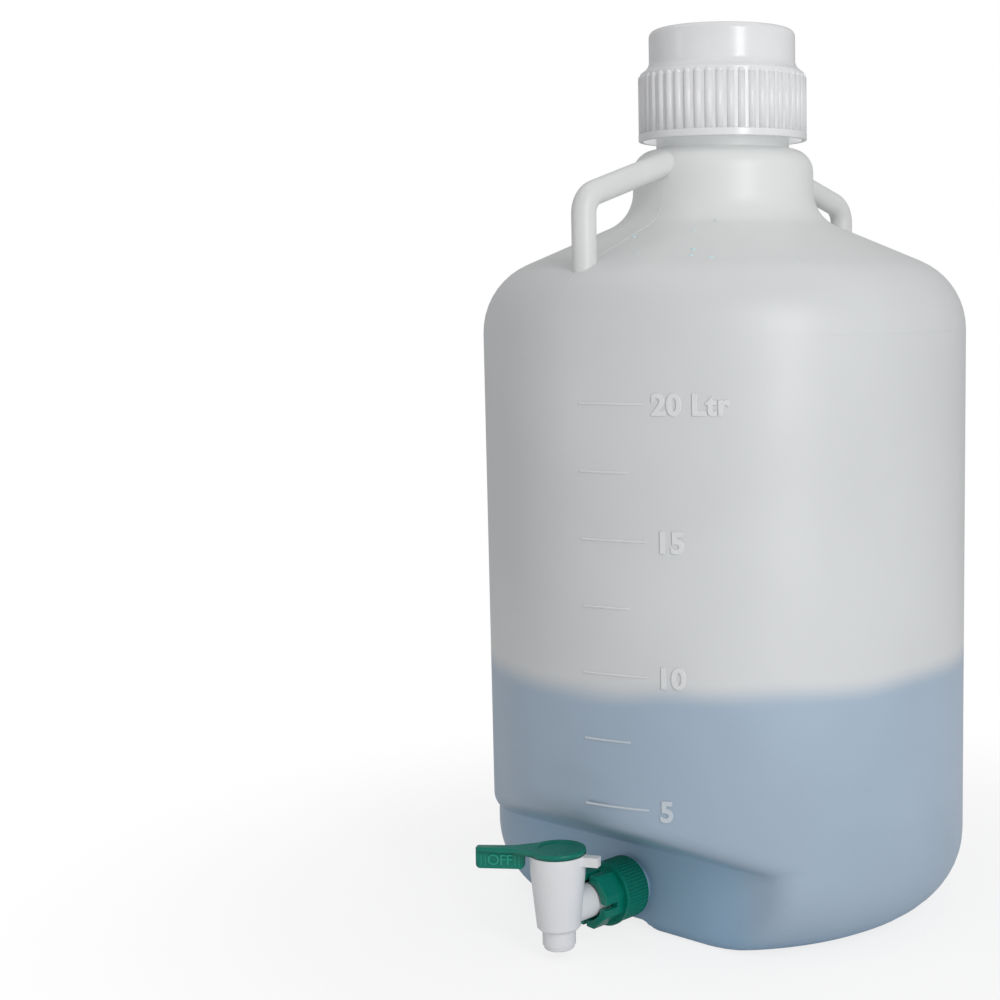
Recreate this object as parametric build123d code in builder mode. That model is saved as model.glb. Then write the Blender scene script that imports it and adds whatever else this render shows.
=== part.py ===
from build123d import *

import os
from math import cos, radians, sin, tan

# Twenty litre carboy with a lever tap in a recess at its foot. Millimetres, +Z up.
# The origin is the centre of the base, on the shell's axis. The tap points along -Y.

# ---- Shell, blow moulded -----------------------------------------------------------
body_radius = 148.0
wall = 3.0
foot_radius = 45.0
shoulder_radius = 45.0
shoulder_corner = 385.8          # height where the straight wall and the cone would meet
cone_slope = 23.0                # degrees
collar_radius = 55.2
collar_top = 466.0
collar_round = 14.0
collar_blend = 24.0
neck_radius = 40.6
neck_root_round = 0.5
mouth_height = 531.7
mouth_round = 0.8
collar_foot = shoulder_corner + (body_radius - collar_radius) * tan(radians(cone_slope))
neck_bore_radius = neck_radius - wall
# The shell is one moulding, kept as three solids that meet at these heights
shoulder_joint = 399.0
neck_joint = 450.0

# ---- Recess for the tap --------------------------------------------------------------
recess_depth = 56.0
recess_height = 53.0
roof_slope = 28.0                # degrees
roof_flare = 26.0                # radius that turns the roof up into the wall
roof_overrun = 1.0               # the flare ends this far outside the wall
recess_edge_round = 7.0
recess_corner_round = 5.0
flat_reach = body_radius - recess_depth
edge_pick_margin = 1.0           # slack when the recess edges are picked out
notch_height = 6.5
notch_top_width = 18.0
notch_foot_width = 38.0
notch_depth = 26.0

# ---- Litre bars: raised arcs beside the tap --------------------------------------------
bar_start = 6.5                  # degrees round from the tap
long_bar_span = 15.7
short_bar_span = 11.6
first_bar_height = 92.8          # five litres
bar_pitch = 37.85                # two and a half litres
bar_count = 7
bar_width = 1.5
bar_proud = 0.7

# ---- Handles: one bar each, from the shoulder to the collar --------------------------------
handle_diameter = 14.2
handle_reach = 123.5
handle_corner_height = 433.9
handle_slope = 17.2              # degrees
handle_bend = 13.0
handle_seat = 1.5                # depth that a handle end sinks into the wall

# ---- Screw cap --------------------------------------------------------------------------
cap_rim_height = 471.1
cap_rim_radius = 51.4
cap_band_height = 4.4
cap_drum_radius = 50.0
cap_drum_top = 510.5
cap_shoulder_radius = 47.5
cap_crown_foot = 516.6
cap_crown_radius = 44.5
cap_top = 537.5
cap_crown_round = 4.5
cap_rib_count = 48
cap_rib_radius = 2.6
cap_rib_tip = 51.3
cap_rib_round = 2.5
cap_mouth_radius = 48.0
cap_mouth_depth = 7.0
cap_thread_radius = 44.9
cap_thread_top = 512.0
cap_crown_bore = 41.9
cap_roof_height = 534.5

# ---- Cap liner ------------------------------------------------------------------------------
liner_gap = 0.2
liner_radius = 41.3
liner_thickness = 2.3

# ---- Port and tap, on the spigot axis -----------------------------------------------------------
spigot_height = 27.3
port_bore_radius = 9.7
boss_radius = 16.5
boss_length = 4.7
port_neck_radius = 13.8
port_end = 110.0                 # distance from the shell's axis
gasket_thickness = 2.4
gasket_radius = 13.2
tap_flange_thickness = 3.5
tap_flange_radius = 13.2
inlet_radius = 10.1
inlet_bore_radius = 6.6

# ---- Spigot nut -------------------------------------------------------------------------------------
nut_back = 97.2
nut_drum_end = 116.5
nut_front = 131.5
nut_root_radius = 17.85
nut_rib_count = 54
nut_rib_radius = 0.75
nut_rib_tip = 18.5
nut_bead_radius = 19.1
nut_bead_width = 2.0
nut_lip_width = 0.6
nut_thread_clearance = 0.08
nut_flange_clearance = 0.3
claw_corner_radius = 17.2
claw_sides = 8
claw_bore_radius = 12.0
claw_chamfer = 0.8
slot_count = 4
slot_width = 3.2
slot_length = 12.4
slot_back = 121.5
slot_turn = -6.0                 # degrees, the first slot's place round the nut
claw_corner_turn = 17.5          # degrees, the first corner's place round the nut

# ---- Tap barrel -----------------------------------------------------------------------------------
tap_reach = 154.2
nozzle_foot = 5.5
nozzle_tip_top = 8.2
nozzle_tip_radius = 8.75
nozzle_tip_chamfer = 0.8
nozzle_radius = 9.6
barrel_foot = 17.1
barrel_foot_radius = 12.6
barrel_foot_chamfer = 1.6
barrel_knee_height = 49.0
barrel_knee_radius = 15.7
barrel_top = 61.4
barrel_top_radius = 16.3
nozzle_bore_radius = 6.0
lug_turn = 114.0                 # degrees round the barrel from the outward direction
lug_reach = 25.3
lug_width = 6.0
lug_round = 0.8
lug_foot = 55.6
lug_top = 61.0

# ---- Tap lever with its plug ---------------------------------------------------------------------------
key_top_radius = 11.4
key_foot_radius = 9.4
key_foot = 19.4
key_clearance = 0.08
key_port_radius = 6.0
key_well_radius = 5.2
disc_foot = 61.7
disc_top = 64.7
disc_radius = 16.4
disc_edge_round = 0.9
dish_radius = 11.3
dish_depth = 0.5
lever_turn = 56.0                # degrees round from the outward direction, at rest, shut
lever_reach = 47.6
arm_root_reach = 26.0
arm_root_width = 7.6
arm_tip_width = 5.6
arm_root_round = 14.0
arm_tip_round = 1.5
paddle_start = 19.2
paddle_foot = 52.0
paddle_thickness = 3.2
paddle_round = 2.5

# ---- Liquid -----------------------------------------------------------------------------------------
liquid_height = 160.0
liquid_gap = 0.3

front_and_back = {"handle_front": -1, "handle_rear": 1}


def shell_form(inset):
    """The revolved outline of the shell, moved inwards by inset."""
    with BuildPart() as form:
        with BuildSketch(Plane.XZ) as outline:
            with BuildLine():
                FilletPolyline(
                    (0, 0),
                    (body_radius, 0),
                    (body_radius, shoulder_corner),
                    (collar_radius, collar_foot),
                    (collar_radius, collar_top),
                    (neck_radius, collar_top),
                    (neck_radius, mouth_height),
                    (0, mouth_height),
                    radius=[foot_radius, shoulder_radius, collar_blend, collar_round,
                            neck_root_round, mouth_round],
                )
                Line((0, mouth_height), (0, 0))
            make_face()
            mirror(about=Plane.YZ)
            if inset:
                offset(amount=-inset)
            split(bisect_by=Plane.YZ)
        revolve(axis=Axis.Z)
    return form.part


def recess_form(outset):
    """The wedge under the roof, in front of the flat, grown by outset."""
    brow = body_radius + roof_overrun
    roof_end = recess_height + (brow - flat_reach) * tan(radians(roof_slope))
    sky = roof_end + 2 * roof_flare
    far = brow + recess_depth
    with BuildPart() as form:
        with BuildSketch(Plane.YZ):
            with BuildLine():
                FilletPolyline(
                    (-flat_reach, recess_height),
                    (-brow, roof_end),
                    (-brow, sky),
                    radius=roof_flare,
                )
                Polyline(
                    (-brow, sky),
                    (-far, sky),
                    (-far, -recess_height),
                    (-flat_reach, -recess_height),
                    (-flat_reach, recess_height),
                )
            make_face()
            if outset:
                offset(amount=outset, kind=Kind.INTERSECTION)
        extrude(amount=body_radius, both=True)
    return form.part


def recessed_form(inset):
    """The whole outline with its recess, moved inwards by inset, with softened edges."""
    with BuildPart() as form:
        add(shell_form(inset))
        add(recess_form(inset), mode=Mode.SUBTRACT)
        limit = edge_pick_margin - flat_reach + inset
        front = form.edges().filter_by(lambda edge: edge.bounding_box().max.Y < limit)
        corner = front.filter_by(Axis.X).group_by(Axis.Y)[-1].sort_by(Axis.Z)[-1]
        fillet(corner, recess_corner_round + inset)
        front = form.edges().filter_by(lambda edge: edge.bounding_box().max.Y < limit)
        arch = front.filter_by_position(Axis.Z, recess_height + inset, collar_top)
        arch = arch.filter_by(GeomType.ELLIPSE) + arch.filter_by(GeomType.BSPLINE)
        jambs = front.filter_by(GeomType.LINE).filter_by(Axis.Z)
        fillet(arch + jambs, recess_edge_round - inset)
    return form.part


def spigot_plane(reach):
    """A plane across the spigot axis, facing outwards, at reach from the shell's axis."""
    return Plane(origin=(0, -reach, spigot_height), x_dir=(1, 0, 0), z_dir=(0, -1, 0))


def round_from(start, end, radius, mode=Mode.ADD):
    """A cylinder on the spigot axis, between two reaches."""
    with BuildSketch(spigot_plane(start)) as disc:
        Circle(radius)
    extrude(disc.sketch, amount=end - start, mode=mode)


# ---- Handles -------------------------------------------------------------------------------
seat_form = shell_form(handle_seat)
handles = {}
for handle_name, side in front_and_back.items():
    collar_end = (collar_radius - 2 * handle_seat) * side
    run = handle_reach - (collar_radius - 2 * handle_seat)
    collar_end_height = handle_corner_height + run * tan(radians(handle_slope))
    with BuildPart() as handle:
        with BuildLine() as handle_path:
            FilletPolyline(
                (0, handle_reach * side, shoulder_corner),
                (0, handle_reach * side, handle_corner_height),
                (0, collar_end, collar_end_height),
                radius=handle_bend,
            )
        with BuildSketch(Plane(origin=handle_path.line @ 0, z_dir=handle_path.line % 0)):
            Circle(handle_diameter / 2)
        sweep()
        add(seat_form, mode=Mode.SUBTRACT)
    handle.part.label = handle_name
    handles[handle_name] = handle.part

# ---- Shell ---------------------------------------------------------------------------------
def notch_block(grown, depth, mode):
    """The notch's trapezium on the flat, grown by a margin and run back under the shell."""
    with BuildSketch(Plane.XZ.offset(flat_reach)) as trapezium:
        with BuildLine():
            Polyline(
                (-notch_foot_width / 2 - grown, 0),
                (-notch_top_width / 2 - grown, notch_height + grown),
                (notch_top_width / 2 + grown, notch_height + grown),
                (notch_foot_width / 2 + grown, 0),
                close=True,
            )
        make_face()
    extrude(trapezium.sketch, amount=-depth - grown, mode=mode)


with BuildPart() as whole_shell:
    add(recessed_form(0))
    add(recessed_form(wall), mode=Mode.SUBTRACT)
    with BuildSketch(Plane.XY.offset(collar_top)):
        Circle(neck_bore_radius)
    extrude(amount=mouth_height - collar_top, mode=Mode.SUBTRACT)
    notch_block(wall, notch_depth, Mode.ADD)
    notch_block(0, notch_depth, Mode.SUBTRACT)
    # Port: a boss on the flat, then a plain spigot for the nut, bored through to the inside
    round_from(flat_reach - wall / 2, flat_reach + boss_length, boss_radius)
    round_from(flat_reach, port_end, port_neck_radius)
    round_from(flat_reach - 2 * wall, port_end, port_bore_radius, Mode.SUBTRACT)
    # Litre bars
    for index in range(bar_count):
        span = long_bar_span if index % 2 == 0 else short_bar_span
        bar_height = first_bar_height + index * bar_pitch
        with BuildSketch(Plane.XZ.rotated((0, 0, bar_start - 90))):
            with Locations((body_radius, bar_height)):
                Rectangle(2 * bar_proud, bar_width)
        revolve(axis=Axis.Z, revolution_arc=span)
    for handle_part in handles.values():
        add(handle_part, mode=Mode.SUBTRACT)

with BuildPart() as carboy_body:
    add(whole_shell.part)
    split(bisect_by=Plane.XY.offset(shoulder_joint), keep=Keep.BOTTOM)
carboy_body.part.label = "carboy_body"

with BuildPart() as carboy_shoulder:
    add(whole_shell.part)
    split(bisect_by=Plane.XY.offset(shoulder_joint), keep=Keep.TOP)
    split(bisect_by=Plane.XY.offset(neck_joint), keep=Keep.BOTTOM)
carboy_shoulder.part.label = "carboy_shoulder"

with BuildPart() as carboy_neck:
    add(whole_shell.part)
    split(bisect_by=Plane.XY.offset(neck_joint), keep=Keep.TOP)
carboy_neck.part.label = "carboy_neck"

# ---- Liquid ----------------------------------------------------------------------------------------
with BuildPart() as liquid:
    add(recessed_form(wall + liquid_gap))
    notch_block(wall + liquid_gap, notch_depth, Mode.SUBTRACT)
    round_from(flat_reach - 3 * wall, flat_reach, boss_radius, Mode.SUBTRACT)
    split(bisect_by=Plane.XY.offset(liquid_height), keep=Keep.BOTTOM)
liquid.part.label = "liquid"

# ---- Screw cap -----------------------------------------------------------------------------------------
with BuildPart() as cap_envelope:
    with BuildSketch(Plane.XZ):
        with BuildLine():
            Polyline(
                (0, cap_rim_height),
                (cap_rib_tip, cap_rim_height),
                (cap_rib_tip, cap_drum_top),
                (0, cap_drum_top),
                close=True,
            )
        make_face()
    revolve(axis=Axis.Z)
    fillet(cap_envelope.edges().filter_by(GeomType.CIRCLE).sort_by(Axis.Z)[-1], cap_rib_round)

with BuildPart() as cap_ribs:
    with BuildSketch(Plane.XY.offset(cap_rim_height + cap_band_height)):
        with PolarLocations(cap_rib_tip - cap_rib_radius, cap_rib_count):
            Circle(cap_rib_radius)
    extrude(amount=cap_drum_top - cap_rim_height - cap_band_height)
    add(cap_envelope.part, mode=Mode.INTERSECT)

with BuildPart() as screw_cap:
    with BuildSketch(Plane.XZ):
        with BuildLine():
            Polyline(
                (0, cap_rim_height),
                (cap_rim_radius, cap_rim_height),
                (cap_rim_radius, cap_rim_height + cap_band_height),
                (cap_drum_radius, cap_rim_height + cap_band_height),
                (cap_drum_radius, cap_drum_top),
                (cap_shoulder_radius, cap_drum_top),
                (cap_crown_radius, cap_crown_foot),
                (cap_crown_radius, cap_top),
                (0, cap_top),
                close=True,
            )
        make_face()
    revolve(axis=Axis.Z)
    fillet(screw_cap.edges().filter_by(GeomType.CIRCLE).sort_by(Axis.Z)[-1], cap_crown_round)
    add(cap_ribs.part)
    with BuildSketch(Plane.XZ):
        with BuildLine():
            Polyline(
                (0, cap_rim_height),
                (cap_mouth_radius, cap_rim_height),
                (cap_mouth_radius, cap_rim_height + cap_mouth_depth),
                (cap_thread_radius, cap_rim_height + cap_mouth_depth + wall),
                (cap_thread_radius, cap_thread_top),
                (cap_crown_bore, cap_thread_top),
                (cap_crown_bore, cap_roof_height),
                (0, cap_roof_height),
                close=True,
            )
        make_face()
    revolve(axis=Axis.Z, mode=Mode.SUBTRACT)
screw_cap.part.label = "screw_cap"

# ---- Cap liner --------------------------------------------------------------------------------------------
with BuildPart() as cap_liner:
    with BuildSketch(Plane.XY.offset(mouth_height + liner_gap)):
        Circle(liner_radius)
    extrude(amount=liner_thickness)
cap_liner.part.label = "cap_liner"

# ---- Port gasket ------------------------------------------------------------------------------------------
tap_flange_start = port_end + gasket_thickness
with BuildPart() as port_gasket:
    round_from(port_end, tap_flange_start, gasket_radius)
    round_from(port_end, tap_flange_start, port_bore_radius, Mode.SUBTRACT)
port_gasket.part.label = "port_gasket"

# ---- Spigot nut -------------------------------------------------------------------------------------------
shoulder_reach = tap_flange_start + tap_flange_thickness + nut_flange_clearance
with BuildPart() as spigot_nut:
    round_from(nut_back, nut_drum_end, nut_root_radius)
    round_from(nut_back, nut_back + nut_lip_width, nut_rib_tip)
    round_from(nut_drum_end - nut_bead_width, nut_drum_end, nut_bead_radius)
    with BuildSketch(spigot_plane(nut_back + nut_lip_width)):
        with PolarLocations(nut_rib_tip - nut_rib_radius, nut_rib_count):
            Circle(nut_rib_radius)
    extrude(amount=nut_drum_end - nut_bead_width - nut_back - nut_lip_width)
    with BuildSketch(spigot_plane(nut_drum_end)):
        RegularPolygon(claw_corner_radius, claw_sides, rotation=claw_corner_turn)
    extrude(amount=nut_front - nut_drum_end)
    chamfer(spigot_nut.faces().sort_by(Axis.Y)[0].edges(), claw_chamfer)
    thread_end = port_end + nut_flange_clearance
    round_from(nut_back, thread_end, port_neck_radius + nut_thread_clearance, Mode.SUBTRACT)
    round_from(thread_end, shoulder_reach, tap_flange_radius + nut_flange_clearance, Mode.SUBTRACT)
    round_from(shoulder_reach, nut_front, claw_bore_radius, Mode.SUBTRACT)
    with BuildSketch(spigot_plane(slot_back)):
        for index in range(slot_count):
            turn = slot_turn + index * 360 / slot_count
            reach = claw_corner_radius
            with Locations(Location((reach * cos(radians(turn)), reach * sin(radians(turn))), turn)):
                Rectangle(slot_length, slot_width)
    extrude(amount=nut_front - slot_back, mode=Mode.SUBTRACT)
spigot_nut.part.label = "spigot_nut"

# ---- Tap body --------------------------------------------------------------------------------------------
tap_axis = Axis(origin=(0, -tap_reach, 0), direction=(0, 0, 1))
tap_section = Plane(origin=(0, -tap_reach, 0), x_dir=(1, 0, 0), z_dir=(0, -1, 0))


def key_radius(height):
    """The plug's taper, from its foot to the underside of the lever's disc."""
    share = (height - key_foot) / (disc_foot - key_foot)
    return key_foot_radius + share * (key_top_radius - key_foot_radius)


with BuildPart() as tap_body:
    with BuildSketch(tap_section):
        with BuildLine():
            Polyline(
                (0, nozzle_foot),
                (nozzle_tip_radius - nozzle_tip_chamfer, nozzle_foot),
                (nozzle_tip_radius, nozzle_foot + nozzle_tip_chamfer),
                (nozzle_tip_radius, nozzle_tip_top),
                (nozzle_radius, nozzle_tip_top),
                (nozzle_radius, barrel_foot),
                (barrel_foot_radius - barrel_foot_chamfer, barrel_foot),
                (barrel_foot_radius, barrel_foot + barrel_foot_chamfer),
                (barrel_knee_radius, barrel_knee_height),
                (barrel_top_radius, barrel_top),
                (0, barrel_top),
                close=True,
            )
        make_face()
    revolve(axis=tap_axis)
    round_from(tap_flange_start, tap_reach, inlet_radius)
    round_from(tap_flange_start, tap_flange_start + tap_flange_thickness, tap_flange_radius)
    lug_across = Plane(origin=(0, -tap_reach, lug_foot)).rotated((0, 0, lug_turn - 90))
    with BuildSketch(lug_across):
        with Locations((lug_reach / 2, 0)):
            Rectangle(lug_reach, lug_width)
    extrude(amount=lug_top - lug_foot)
    fillet(tap_body.edges().filter_by(Axis.Z).group_by(Axis.Y)[-1], lug_round)
    # Taper for the plug, the way in from the carboy and the way out through the nozzle
    with BuildSketch(tap_section):
        with BuildLine():
            Polyline(
                (0, key_foot - key_clearance),
                (key_radius(key_foot) + key_clearance, key_foot - key_clearance),
                (key_radius(barrel_top) + key_clearance, barrel_top),
                (0, barrel_top),
                close=True,
            )
        make_face()
    revolve(axis=tap_axis, mode=Mode.SUBTRACT)
    round_from(tap_flange_start, tap_reach, inlet_bore_radius, Mode.SUBTRACT)
    with BuildSketch(Plane(origin=(0, -tap_reach, nozzle_foot))):
        Circle(nozzle_bore_radius)
    extrude(amount=key_foot - nozzle_foot, mode=Mode.SUBTRACT)
tap_body.part.label = "tap_body"

# ---- Tap lever, in one piece with its plug --------------------------------------------------------------
lever_plane = Plane(origin=(0, -tap_reach, disc_foot)).rotated((0, 0, -90 - lever_turn))
with BuildPart() as tap_lever:
    with BuildSketch(lever_plane) as lever_outline:
        with BuildLine():
            Polyline(
                (0, disc_radius),
                (arm_root_reach, arm_root_width / 2),
                (lever_reach, arm_tip_width / 2),
                (lever_reach, -arm_tip_width / 2),
                (arm_root_reach, -arm_root_width / 2),
                (0, -disc_radius),
                close=True,
            )
        make_face()
        fillet(lever_outline.vertices().group_by(Axis.X)[-1], arm_tip_round)
        root_corners = lever_outline.vertices().sort_by(Axis.X)[2:4]
        fillet(root_corners, arm_root_round)
        Circle(disc_radius)
    extrude(amount=disc_top - disc_foot)
    fillet(tap_lever.faces().sort_by(Axis.Z)[-1].outer_wire().edges(), disc_edge_round)
    with BuildSketch(lever_plane.offset(disc_top - disc_foot)):
        Circle(dish_radius)
    extrude(amount=-dish_depth, mode=Mode.SUBTRACT)
    paddle_length = lever_reach - paddle_start
    paddle_drop = disc_foot - paddle_foot
    paddle_face = Plane(
        origin=lever_plane.from_local_coords((0, paddle_thickness / 2, 0)),
        x_dir=lever_plane.x_dir,
        z_dir=lever_plane.y_dir * -1,
    )
    with BuildSketch(paddle_face) as paddle:
        with Locations((paddle_start + paddle_length / 2, -paddle_drop / 2)):
            Rectangle(paddle_length, paddle_drop)
        fillet(paddle.vertices().sort_by(Axis.Y)[:2], paddle_round)
    extrude(amount=paddle_thickness)
    with BuildSketch(tap_section):
        with BuildLine():
            Polyline(
                (0, key_foot),
                (key_foot_radius, key_foot),
                (key_top_radius, disc_foot),
                (0, disc_foot),
                close=True,
            )
        make_face()
    revolve(axis=tap_axis)
    # Way through the plug: in at the side, which faces +X while shut, and out at the foot
    with BuildSketch(Plane(origin=(0, -tap_reach, key_foot))):
        Circle(key_well_radius)
    extrude(amount=spigot_height - key_foot, mode=Mode.SUBTRACT)
    with BuildSketch(Plane(origin=(0, -tap_reach, spigot_height), z_dir=(1, 0, 0))):
        Circle(key_port_radius)
    extrude(amount=2 * key_top_radius, mode=Mode.SUBTRACT)
tap_lever.part.label = "tap_lever"

# ---- Output ---------------------------------------------------------------------------------------------
os.makedirs("parts", exist_ok=True)
finished = [carboy_body.part, carboy_shoulder.part, carboy_neck.part, *handles.values(),
            liquid.part, screw_cap.part, cap_liner.part, port_gasket.part, spigot_nut.part,
            tap_body.part, tap_lever.part]
for piece in finished:
    export_step(piece, f"parts/{piece.label}.step")
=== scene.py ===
"""Finish of a twenty litre carboy with a lever tap: moulded plastic, liquid and stage.

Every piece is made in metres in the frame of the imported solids, with +Z up,
the base on the floor and the tap pointing along -Y.
"""
from math import atan2, ceil, cos, pi, radians, sin, tan

import bmesh
import bpy
import numpy as np
from bpy.props import FloatProperty, FloatVectorProperty, IntProperty, PointerProperty
from mathutils import Matrix, Vector


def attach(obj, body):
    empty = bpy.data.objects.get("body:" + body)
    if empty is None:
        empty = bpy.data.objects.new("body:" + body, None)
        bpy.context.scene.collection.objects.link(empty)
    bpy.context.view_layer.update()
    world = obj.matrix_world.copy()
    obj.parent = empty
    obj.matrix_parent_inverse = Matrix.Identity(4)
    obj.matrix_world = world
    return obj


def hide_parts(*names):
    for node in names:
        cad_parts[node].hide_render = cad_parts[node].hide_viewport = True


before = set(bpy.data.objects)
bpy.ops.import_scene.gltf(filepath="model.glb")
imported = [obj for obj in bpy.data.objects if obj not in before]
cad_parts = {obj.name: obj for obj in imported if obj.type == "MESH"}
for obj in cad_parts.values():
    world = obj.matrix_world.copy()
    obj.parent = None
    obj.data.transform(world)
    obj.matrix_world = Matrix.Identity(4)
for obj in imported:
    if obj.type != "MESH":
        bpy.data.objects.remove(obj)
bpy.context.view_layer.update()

bl_info = {
    "name": "Carboy with Lever Tap",
    "version": (1, 0, 0),
    "blender": (4, 5, 0),
    "location": "View3D > Sidebar > Carboy",
    "description": "Dresses the carboy's packed solids with moulded plastic pieces",
    "category": "Add Mesh",
}

MM = 0.001
CAPITAL_SHARE = 0.70           # height of a capital as a share of the text's size

# ---- Shell, in millimetres -------------------------------------------------------------
BODY_RADIUS = 148.0
WALL = 3.0
FOOT_ROUND = 45.0
SHOULDER_ROUND = 45.0
SHOULDER_CORNER = 385.8
CONE_SLOPE = radians(23.0)
COLLAR_RADIUS = 55.2
COLLAR_TOP = 466.0
COLLAR_ROUND = 14.0
COLLAR_BLEND = 24.0
NECK_RADIUS = 40.6
MOUTH_HEIGHT = 531.7
LIP_ROUND = 0.8
ROOT_ROUND = 0.5

# ---- Recess for the tap ----------------------------------------------------------------
FLAT_REACH = 92.0
RECESS_HEIGHT = 53.0
ROOF_SLOPE = radians(28.0)
ROOF_FLARE = 26.0
BROW_REACH = 149.0
BROW_TOP = 104.0
BROW_ROUND = 18.0
BROW_LEAN = 16.0               # how far the recess's face leans clear of the wall over the brow
RECESS_CORNER_ROUND = 5.0
EDGE_BLEND = 8.2               # width of the soft minimum that rounds the recess's edges
NOTCH_HEIGHT = 6.5
NOTCH_TOP_HALF = 9.0
NOTCH_FOOT_HALF = 19.0
NOTCH_BACK = 66.0
FINE_HALF_ANGLE = 62.0         # degrees each side of the tap with fine columns
FINE_STEP = 1.0                # degrees
COARSE_STEP = 4.0              # degrees
FINE_SPACING = 2.4
COARSE_SPACING = 30.0
FINE_CEILING = 116.0           # rows below this height are spaced finely
CAST_RADIUS = 50.0             # the rows are cast outwards from this radius

# ---- Where colours change, in metres: a start and an end ---------------------------------
# DEEP_SPAN places the deeper blue: partly the liquid all round, partly painted blue bounce light
# in the recess's shade.
DEEP_SPAN = (0.004, 0.030)     # depth behind the straight wall
# ROOF_SPAN places the painted shade and painted green reflection under the recess's roof.
ROOF_SPAN = (0.050, 0.064)     # height, from the recess's flat to its roof
# NECK_SPAN fades in the neck's painted light.
NECK_SPAN = (0.370, 0.440)     # height, from the shoulder to the collar
# Painted light: the cap's inner skirt glows, standing for light let through its wall.
SKIRT_EDGE = (0.0481, 0.0486)  # radius of the cap's inner skirt
SKIRT_FADE = (0.480, 0.495)    # height over which its glow fades
SKIRT_PAINTED_LIGHT = 0.40

# ---- Threads of the neck and the cap, in metres -----------------------------------------
THREAD_FOOT = 0.4960
NECK_THREAD_RADIUS = 0.0413
CAP_THREAD_RADIUS = 0.0455

# ---- Creases: smooth shading breaks where faces meet at more than this ------------------
CREASE = radians(32)
FIGURE_CREASE = radians(40)
RIDGE_CREASE = radians(60)

# ---- Spigot and tap --------------------------------------------------------------------
SPIGOT_HEIGHT = 27.3
TAP_REACH = 154.2
SPIGOT_FRAME = Matrix.Translation((0, 0, SPIGOT_HEIGHT * MM)) @ Matrix.Rotation(pi / 2, 4, "X")


# ---- Meshes -------------------------------------------------------------------------
def add_object(name, data):
    """A new object at the origin, in the scene's own collection."""
    piece = bpy.data.objects.new(name, data)
    bpy.context.scene.collection.objects.link(piece)
    return piece


def shade_by_angle(piece, angle=CREASE):
    """Smooth shading, with a crease wherever two faces meet at more than angle."""
    piece.data.shade_smooth()
    piece.data.set_sharp_from_angle(angle=angle)
    return piece


def object_from_bmesh(name, work):
    """A smooth-shaded object that holds the bmesh, which is used up."""
    mesh = bpy.data.meshes.new(name)
    work.to_mesh(mesh)
    work.free()
    return shade_by_angle(add_object(name, mesh))


def flatten(piece):
    """Turns an object with modifiers, a curve or a text into a plain mesh object."""
    depsgraph = bpy.context.evaluated_depsgraph_get()
    mesh = bpy.data.meshes.new_from_object(piece.evaluated_get(depsgraph))
    mesh.name = piece.name
    name = piece.name
    bpy.data.objects.remove(piece)
    return add_object(name, mesh)


def join(name, pieces):
    """One mesh object from several, each already in place."""
    work = bmesh.new()
    for piece in pieces:
        work.from_mesh(piece.data)
        bpy.data.objects.remove(piece)
    return object_from_bmesh(name, work)


def finish_piece(piece, body, material, replaced=()):
    """Rides the piece on its body, gives it its material and hides the parts it replaces."""
    piece.data.materials.clear()
    piece.data.materials.append(material)
    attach(piece, body)
    if replaced:
        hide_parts(*replaced)
    return piece


def merged_copy(node, name, easing=0.0, angle=CREASE):
    """A copy of a node with its triangles joined and, where asked, its edges eased."""
    work = bmesh.new()
    work.from_mesh(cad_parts[node].data)
    bmesh.ops.remove_doubles(work, verts=work.verts, dist=2e-6)
    if easing:
        bmesh.ops.dissolve_limit(
            work, angle_limit=radians(0.4), verts=work.verts, edges=work.edges
        )
    piece = object_from_bmesh(name, work)
    if easing:
        bevel = piece.modifiers.new("Eased edges", "BEVEL")
        bevel.width = easing
        bevel.segments = 2
        bevel.limit_method = "ANGLE"
        bevel.angle_limit = angle
        piece = flatten(piece)
    weighted = shade_by_angle(piece, angle).modifiers.new("Flat faces", "WEIGHTED_NORMAL")
    weighted.keep_sharp = True
    return flatten(piece)


def rounded_path(corners, arc_step=radians(7.5)):
    """Points along a path of (x, y, radius) corners, each corner turned into an arc."""
    points = [Vector(corners[0][:2])]
    for before, here, after in zip(corners, corners[1:], corners[2:]):
        corner, radius = Vector(here[:2]), here[2]
        into = (corner - Vector(before[:2])).normalized()
        out = (Vector(after[:2]) - corner).normalized()
        turn = atan2(into.x * out.y - into.y * out.x, into.dot(out))
        if radius == 0 or abs(turn) < radians(0.1):
            points.append(corner)
            continue
        start = corner - into * radius * tan(abs(turn) / 2)
        side = 1 if turn > 0 else -1
        centre = start + Vector((-into.y, into.x)) * radius * side
        arm = start - centre
        steps = max(2, ceil(abs(turn) / arc_step))
        for index in range(steps + 1):
            swing = turn * index / steps
            points.append(centre + Vector((
                arm.x * cos(swing) - arm.y * sin(swing),
                arm.x * sin(swing) + arm.y * cos(swing),
            )))
    points.append(Vector(corners[-1][:2]))
    return points


def grid_mesh(name, rows):
    """A smooth closed mesh over rows of points in millimetres, each row a closed ring."""
    work = bmesh.new()
    made = [[work.verts.new(Vector(point) * MM) for point in row] for row in rows]
    for lower, upper in zip(made, made[1:]):
        for index in range(len(lower)):
            after = (index + 1) % len(lower)
            work.faces.new((lower[index], lower[after], upper[after], upper[index]))
    bmesh.ops.remove_doubles(work, verts=work.verts, dist=1e-5)
    bmesh.ops.dissolve_degenerate(work, edges=work.edges, dist=1e-6)
    bmesh.ops.recalc_face_normals(work, faces=work.faces)
    return object_from_bmesh(name, work)


def turned(name, corners, segments=96, place=Matrix.Identity(4)):
    """A profile of (radius, height, round) corners in millimetres, turned about local Z."""
    turns = [2 * pi * index / segments for index in range(segments)]
    rows = [
        [(radius * cos(turn), radius * sin(turn), height) for turn in turns]
        for radius, height in rounded_path(corners)
    ]
    piece = grid_mesh(name, rows)
    piece.data.transform(place)
    return piece


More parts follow.
